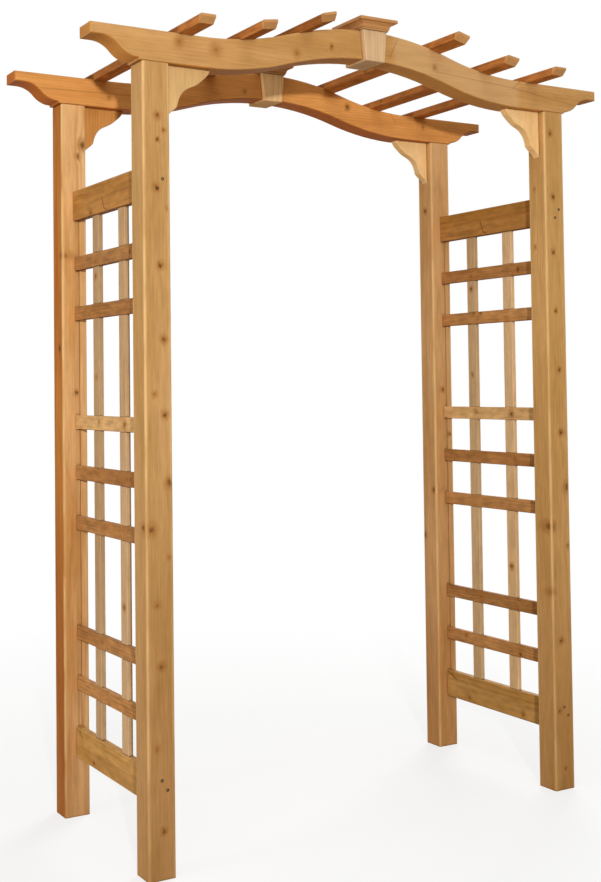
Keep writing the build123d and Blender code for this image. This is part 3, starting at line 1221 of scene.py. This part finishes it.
@dataclass(frozen=True)
class SidePanel:
    """One side: two rails with a lattice of half-lapped boards between them. Lengths are in metres."""

    side: str
    seed: int
    upright_finish: StainedSoftwood
    slat_height: float = 38 * MM
    slat_gap: float = 98 * MM
    rows: tuple[int, int, int] = (2, 3, 2)
    upright_width: float = 40 * MM
    upright_offset: float = 86 * MM
    upright_count: int = 2
    lap_clearance: float = 0.4 * MM
    edge_ease: float = 1.2 * MM
    upper_cracks: tuple[Seam, ...] = (Seam((32, 1652), (16, 1614), 0.9), Seam((18, 1620), (0, 1612), 0.7))
    lower_cracks: tuple[Seam, ...] = (Seam((233, 237), (188, 219), 0.8), Seam((212, 240), (203, 222), 0.7))
    rail_pith: tuple[float, float] = (22.0, 66.0)
    board_pith: tuple[float, float] = (12.0, 60.0)
    pale_slat: int = 4
    slat_knots: tuple[Knot, ...] = (
        *knots_on(Face.LEFT, (138, 1490, 8), (-86, 1486, 6, 0.7), (97, 1059, 9, 0.8), (-70, 1063, 6, 0.6)),
        *knots_on(Face.RIGHT, (-110, 925, 7), (60, 496, 8)),
    )
    upright_knots: tuple[Knot, ...] = (
        *knots_on(Face.LEFT, (-86, 1446, 6), (86, 604, 7)), *knots_on(Face.RIGHT, (86, 1180, 6)),
    )
    # Painted shade on the undersides of the rails and slats
    under_stain: str = "b4987c"

    def build(self, repeater: BoardRepeater) -> None:
        """Dress the rails and make the lattice boards.

        Args:
            repeater: Tree that repeats a board.
        """
        self.dress_rails()
        low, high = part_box(f"{self.side}_lattice")
        middle = (low + high) / 2
        thick, length, height = high - low
        count = sum(self.rows)
        long_gaps = len(self.rows) - 1
        short_gaps = count + 1 - long_gaps
        long_gap = (height - count * self.slat_height - short_gaps * self.slat_gap) / long_gaps
        pitch = self.slat_height + self.slat_gap
        breaks = (self.rows[0], self.rows[0] + self.rows[1])
        first = low.z + self.slat_gap + self.slat_height / 2
        levels = [
            first + pitch * row + (long_gap - self.slat_gap) * sum(row >= stop for stop in breaks) - middle.z
            for row in range(count)
        ]
        slat = self.board(
            "slats", (thick, length, self.slat_height), (-self.upright_offset, self.upright_offset),
            self.upright_width,
        )
        upright = self.board("uprights", (thick, self.upright_width, height), levels, self.slat_height)
        slat_look = WoodLook(
            BROWN_SLAT, Grain.ALONG_Y, self.board_pith, self.slat_knots, many_boards=True,
            pale_board=self.seed + self.pale_slat, dark_faces=(Face.UNDER,), dark_stain=self.under_stain,
        )
        upright_look = WoodLook(
            self.upright_finish, Grain.ALONG_Z, self.board_pith, self.upright_knots, many_boards=True
        )
        self.repeat(
            repeater, slat, slat_look,
            {"Count": count, "Start": (middle.x, middle.y, first), "Step": (0.0, 0.0, pitch),
             "Group Step": (0.0, 0.0, long_gap - self.slat_gap), "First Break": breaks[0],
             "Second Break": breaks[1]},
        )
        self.repeat(
            repeater, upright, upright_look,
            {"Count": self.upright_count, "Start": (middle.x, middle.y - self.upright_offset, middle.z),
             "Step": (0.0, 2 * self.upright_offset, 0.0), "First Break": self.upright_count,
             "Second Break": self.upright_count},
        )

    def dress_rails(self) -> None:
        """Give the two rails their wood."""
        for step, (level, finish, cracks) in enumerate(
            (("upper", BROWN_RAIL, self.upper_cracks), ("lower", OLIVE_RAIL, self.lower_cracks))
        ):
            look = WoodLook(
                finish, Grain.ALONG_Y, self.rail_pith, seams=cracks, rubbed_edges=True,
                dark_faces=(Face.UNDER,), dark_stain=self.under_stain,
            )
            dress(f"{self.side}_{level}_rail", look, self.seed + step)

    def board(
        self, name: str, size: tuple[float, float, float], crossings: list[float] | tuple[float, ...],
        notch_width: float,
    ) -> bpy.types.Object:
        """Make one board about the origin, notched to half its thickness at each crossing.

        A slat, which lies along Y, is notched from +X, and an upright from -X, so that the two lap flush.

        Args:
            name: Last part of the object's name.
            size: Size along X, Y and Z.
            crossings: Places of the crossing boards' middles, along the board.
            notch_width: Width of the crossing boards.

        Returns:
            The object.
        """
        upright = size[2] > size[1]
        half_thick = size[0] / 2
        half_length, half_width = max(size[1:]) / 2, min(size[1:]) / 2
        half_notch = (notch_width + self.lap_clearance) / 2
        notch_floor = self.lap_clearance / 2
        outline = [(-half_length, -half_thick), (half_length, -half_thick), (half_length, half_thick)]
        for place in sorted(crossings, reverse=True):
            outline += [(place + half_notch, half_thick), (place + half_notch, notch_floor)]
            outline += [(place - half_notch, notch_floor), (place - half_notch, half_thick)]
        outline.append((-half_length, half_thick))
        shape = bmesh.new()
        rings = []
        for edge in (-half_width, half_width):
            ring = []
            for along, depth in outline:
                place = (-depth, edge, along) if upright else (depth, along, edge)
                ring.append(shape.verts.new(place))
            rings.append(ring)
            shape.faces.new(ring)
        for corner in range(len(outline)):
            following = (corner + 1) % len(outline)
            shape.faces.new(
                (rings[0][corner], rings[0][following], rings[1][following], rings[1][corner])
            )
        bmesh.ops.recalc_face_normals(shape, faces=shape.faces)
        mesh = bpy.data.meshes.new(f"{self.side}_lattice_{name}")
        shape.to_mesh(mesh)
        shape.free()
        piece = add_object(mesh.name, mesh)
        bevel = piece.modifiers.new("eased_edges", "BEVEL")
        bevel.width = self.edge_ease
        bevel.segments = 1
        return piece

    def repeat(self, repeater: BoardRepeater, piece: bpy.types.Object, look: WoodLook, values: dict) -> None:
        """Repeat a board, dress the boards and let them stand for the lattice node.

        Args:
            repeater: Tree that repeats a board.
            piece: Object that holds one board.
            look: How the boards are cut and finished.
            values: Places of the boards, as the tree's inputs.
        """
        node = f"{self.side}_lattice"
        wood = WoodMaker(look, node, self.seed).build()
        repeater.apply(piece, values | {"First Number": self.seed, "Material": wood})
        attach(piece, BODY)
        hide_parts(node)
        LOG.info("%s: %s", piece.name, wood.name)


@dataclass(frozen=True)
class BrownedSteel:
    """Steel screws, browned and sunk flush: dark dots with a dull metal glint."""

    name: str = "browned_steel_screw"
    dark: str = "2c1d10"
    metal: str = "5a4026"
    metallic: float = 0.6
    roughness: float = 0.55
    grit_mm: float = 0.7

    def build(self) -> bpy.types.Material:
        """Build the material.

        Returns:
            The material.
        """
        material = new_material(self.name)
        tree = material.node_tree
        coords = add_node(tree, "ShaderNodeTexCoord")
        grit = add_node(
            tree, "ShaderNodeTexNoise",
            {"Vector": coords.outputs["Object"], "Scale": 1 / (self.grit_mm * MM), "Detail": 2.0},
        )
        tone = add_node(
            tree, "ShaderNodeMix",
            {MIX_FACTOR: grit, MIX_FIRST: linear(self.dark), MIX_SECOND: linear(self.metal)},
            data_type="RGBA",
        )
        shader = add_node(
            tree, "ShaderNodeBsdfPrincipled",
            {"Base Color": tone, "Metallic": self.metallic, "Roughness": self.roughness},
        )
        add_node(tree, "ShaderNodeOutputMaterial", {"Surface": shader})
        return material


class ScrewHeads(CopyTree):
    """Sets a cross-slotted head on each point, turned the way that the point faces."""

    title = "screw_heads"
    inputs = {
        "Points": "Geometry", "Head Sides": "Int", "Head Radius": "Float", "Head Rise": "Float",
        "Slot Length": "Float", "Slot Width": "Float", "Slot Depth": "Float", "Material": "Material",
    }

    def copies(self, given: bpy.types.NodeOutputs) -> Source:
        """Cut the slots into one head and set it on the points.

        Args:
            given: The tree's inputs, by name.

        Returns:
            The heads, as instances.
        """
        tree = self.tree
        head = add_node(
            tree, "GeometryNodeMeshCylinder",
            {"Vertices": given["Head Sides"], "Radius": given["Head Radius"], "Depth": given["Head Radius"]},
        )
        sunk = add_node(
            tree, "ShaderNodeMath", {0: given["Head Radius"], 1: -0.5, 2: given["Head Rise"]},
            operation="MULTIPLY_ADD",
        )
        lifted = add_node(tree, "ShaderNodeCombineXYZ", {"Z": sunk})
        cut = add_node(tree, "GeometryNodeTransform", {"Geometry": head, "Translation": lifted})
        for long_way, short_way in (("X", "Y"), ("Y", "X")):
            box = add_node(
                tree, "ShaderNodeCombineXYZ",
                {long_way: given["Slot Length"], short_way: given["Slot Width"], "Z": given["Slot Depth"]},
            )
            bar = add_node(tree, "GeometryNodeMeshCube", {"Size": box})
            cut = add_node(
                tree, "GeometryNodeMeshBoolean", {"Mesh 1": cut, "Mesh 2": bar}, operation="DIFFERENCE"
            )
        spots = add_node(tree, "GeometryNodeMeshToPoints", {"Mesh": given["Points"]})
        outward = add_node(
            tree, "GeometryNodeInputNamedAttribute", {"Name": FACING}, data_type="FLOAT_VECTOR"
        )
        aim = add_node(tree, "FunctionNodeAlignRotationToVector", {"Vector": outward}, axis="Z")
        return add_node(
            tree, "GeometryNodeInstanceOnPoints", {"Points": spots, "Instance": cut, "Rotation": aim}
        )


@dataclass(frozen=True)
class ScrewSet:
    """Countersunk screws: two through each post into each rail, one through each rafter into each beam."""

    rafter_count: int
    head_sides: int = 20
    head_radius: float = 4.0 * MM
    head_rise: float = 0.4 * MM
    slot_length: float = 4.6 * MM
    slot_width: float = 1.1 * MM
    slot_depth: float = 1.6 * MM
    pair_across: float = 7.0 * MM
    pair_up: float = 12.0 * MM
    upper_lift: float = -12.0 * MM
    lower_lift: float = 20.0 * MM
    same_plane_cosine: float = 0.999

    def build(self) -> None:
        """Make all the screws as one piece."""
        places = self.post_places() + self.rafter_places()
        mesh = bpy.data.meshes.new("screws")
        mesh.from_pydata([place for place, _ in places], [], [])
        facing = mesh.attributes.new(FACING, "FLOAT_VECTOR", "POINT")
        for item, (_, outward) in zip(facing.data, places):
            item.vector = outward
        piece = add_object("screws", mesh)
        ScrewHeads().apply(piece, {
            "Head Sides": self.head_sides, "Head Radius": self.head_radius, "Head Rise": self.head_rise,
            "Slot Length": self.slot_length, "Slot Width": self.slot_width, "Slot Depth": self.slot_depth,
            "Material": BrownedSteel().build(),
        })
        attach(piece, BODY)
        LOG.info("%s: %d heads", piece.name, len(places))

    def post_places(self) -> list[tuple[Vector, Vector]]:
        """Find the screws through the posts.

        Returns:
            Place and outward direction of each.
        """
        places = []
        for side in ("left", "right"):
            for end, outward in (("front", -1), ("back", 1)):
                low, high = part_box(f"{end}_{side}_post")
                face = low.y if outward < 0 else high.y
                for level, slant, lift in (("upper", 1, self.upper_lift), ("lower", -1, self.lower_lift)):
                    rail_low, rail_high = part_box(f"{side}_{level}_rail")
                    middle = (rail_low + rail_high) / 2
                    for sign in (-1, 1):
                        across = middle.x + sign * slant * self.pair_across
                        spot = Vector((across, face, middle.z + lift + sign * self.pair_up))
                        places.append((spot, Vector((0, outward, 0))))
        return places

    def rafter_places(self) -> list[tuple[Vector, Vector]]:
        """Find the screws through the rafters.

        Returns:
            Place and outward direction of each.
        """
        places = []
        for number in range(1, self.rafter_count + 1):
            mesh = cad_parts[f"rafter_{number}"].data
            top = max(mesh.polygons, key=lambda face: face.normal.z * face.area)
            upper = [face for face in mesh.polygons if face.normal.dot(top.normal) > self.same_plane_cosine]
            area = sum(face.area for face in upper)
            middle = sum((face.center * face.area for face in upper), Vector()) / area
            for beam in ("front_beam", "back_beam"):
                low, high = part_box(beam)
                places.append((Vector((middle.x, (low.y + high.y) / 2, middle.z)), top.normal.copy()))
        return places


@dataclass(frozen=True)
class CameraRig:
    """The camera, standing where the photograph's lens stood."""

    place: tuple[float, float, float] = (-1.918, -3.118, 1.154)
    yaw_deg: float = 30.94
    pitch_deg: float = 1.93
    roll_deg: float = -0.71
    focal_px: float = 1300.0
    rise_px: float = -100.0
    sensor_mm: float = 36.0

    def build(self) -> None:
        """Make the camera and set it as the scene's."""
        data = bpy.data.cameras.new("camera")
        data.sensor_width = self.sensor_mm
        data.lens = self.focal_px / PHOTO_HEIGHT_PX * self.sensor_mm
        data.shift_y = self.rise_px / PHOTO_HEIGHT_PX
        camera = add_object("camera", data)
        camera.matrix_world = (
            Matrix.Translation(self.place)
            @ Matrix.Rotation(-math.radians(self.yaw_deg), 4, "Z")
            @ Matrix.Rotation(math.radians(90 + self.pitch_deg), 4, "X")
            @ Matrix.Rotation(math.radians(self.roll_deg), 4, "Z")
        )
        bpy.context.scene.camera = camera


@dataclass(frozen=True)
class Lamp:
    """A square lamp that faces the object, with its place and side in metres and its power in watts."""

    name: str
    place: tuple[float, float, float]
    side: float
    power: float


@dataclass(frozen=True)
class Studio:
    """Pale floor, white surroundings and soft lamps.

    floor_bounce is the colour of the light that the floor gives back to the object.
    It is darker and warmer than the floor looks, so that undersides keep their depth.
    """

    lamps: tuple[Lamp, ...] = (
        Lamp("key", (-2.45, -5.44, 1.6), 0.14, 226.0),
        Lamp("side", (-5.2, -0.4, 0.7), 1.3, 94.0),
        Lamp("top", (-0.6, -1.5, 5.0), 3.0, 42.0),
        Lamp("back", (4.6, 4.4, 3.6), 3.0, 300.0),
    )
    floor_half: float = 60.0
    floor_colour: str = "f6f6f4"
    floor_bounce: str = "948064"
    fade_from: float = 1.0
    fade_to: float = 3.0
    near_white_share: float = 0.72
    world_strength: float = 0.32
    target: tuple[float, float, float] = (0.0, 0.0, 1.1)

    def build(self) -> None:
        """Make the floor, the world and the lamps."""
        self.floor()
        self.world()
        for lamp in self.lamps:
            self.hang(lamp)

    def hang(self, lamp: Lamp) -> None:
        """Make one lamp.

        Args:
            lamp: The lamp.
        """
        data = bpy.data.lights.new(lamp.name, "AREA")
        data.size = lamp.side
        data.energy = lamp.power
        holder = add_object(lamp.name, data)
        holder.location = lamp.place
        aim = Vector(self.target) - Vector(lamp.place)
        holder.rotation_euler = aim.to_track_quat("-Z", "Y").to_euler()

    @staticmethod
    def seen(tree: bpy.types.NodeTree) -> Source:
        """Tell rays that come from the eye, a reflection or glass from light on the object.

        Args:
            tree: Tree that gets the nodes.

        Returns:
            1 for such rays and 0 for the rest.
        """
        path = add_node(tree, "ShaderNodeLightPath").outputs
        direct = add_node(
            tree, "ShaderNodeMath", {0: path["Is Camera Ray"], 1: path["Is Glossy Ray"]}, operation="MAXIMUM"
        )
        return add_node(
            tree, "ShaderNodeMath", {0: direct, 1: path["Is Transmission Ray"]}, operation="MAXIMUM"
        )

    def world(self) -> None:
        """White all round: full white to the eye, softer as light."""
        world = bpy.data.worlds.new("white_surroundings")
        bpy.context.scene.world = world
        world.use_nodes = True
        tree = world.node_tree
        tree.nodes.clear()
        strength = add_node(
            tree, "ShaderNodeMapRange",
            {"Value": self.seen(tree), "To Min": self.world_strength, "To Max": 1.0},
        )
        back = add_node(tree, "ShaderNodeBackground", {"Color": (1.0, 1.0, 1.0, 1.0), "Strength": strength})
        add_node(tree, "ShaderNodeOutputWorld", {"Surface": back})

    def floor(self) -> None:
        """A wide pale floor that keeps the object's shadow and fades to white far off."""
        mesh = bpy.data.meshes.new("floor")
        far = self.floor_half
        mesh.from_pydata([(-far, -far, 0), (far, -far, 0), (far, far, 0), (-far, far, 0)], [], [(0, 1, 2, 3)])
        floor = add_object("floor", mesh)
        material = new_material("matt_white_studio_floor")
        tree = material.node_tree
        seen = self.seen(tree)
        coords = add_node(tree, "ShaderNodeTexCoord")
        away = add_node(tree, "ShaderNodeVectorMath", {0: coords.outputs["Object"]}, operation="LENGTH")
        fade = add_node(
            tree, "ShaderNodeMapRange",
            {"Value": away, "From Min": self.fade_from, "From Max": self.fade_to,
             "To Min": self.near_white_share, "To Max": 1.0},
        )
        white_share = add_node(tree, "ShaderNodeMath", {0: fade, 1: seen}, operation="MULTIPLY")
        paint = add_node(
            tree, "ShaderNodeMix",
            {MIX_FACTOR: seen, MIX_FIRST: linear(self.floor_bounce), MIX_SECOND: linear(self.floor_colour)},
            data_type="RGBA",
        )
        matt = add_node(tree, "ShaderNodeBsdfDiffuse", {"Color": paint})
        white = add_node(tree, "ShaderNodeEmission", {"Strength": 1.0})
        both = add_node(tree, "ShaderNodeMixShader", {0: white_share, 1: matt, 2: white})
        add_node(tree, "ShaderNodeOutputMaterial", {"Surface": both})
        mesh.materials.append(material)


def main() -> None:
    """Build the looks in order and report each piece."""
    logging.basicConfig(level=logging.INFO)
    bpy.context.scene.view_settings.view_transform = "Standard"
    rafters = RafterSet()
    keystones = (Keystone("front", 40, PALE_BLOCK), Keystone("back", 42, HONEY_BLOCK))
    for sub_assembly in (*POSTS, *BEAMS, rafters, *BRACKETS, *keystones):
        sub_assembly.dress()
    repeater = BoardRepeater()
    for panel in (SidePanel("left", 50, ROSE_UPRIGHT), SidePanel("right", 70, PALE_UPRIGHT)):
        panel.build(repeater)
    ScrewSet(rafters.count).build()
    Studio().build()
    CameraRig().build()


if __name__ == "__main__":
    main()
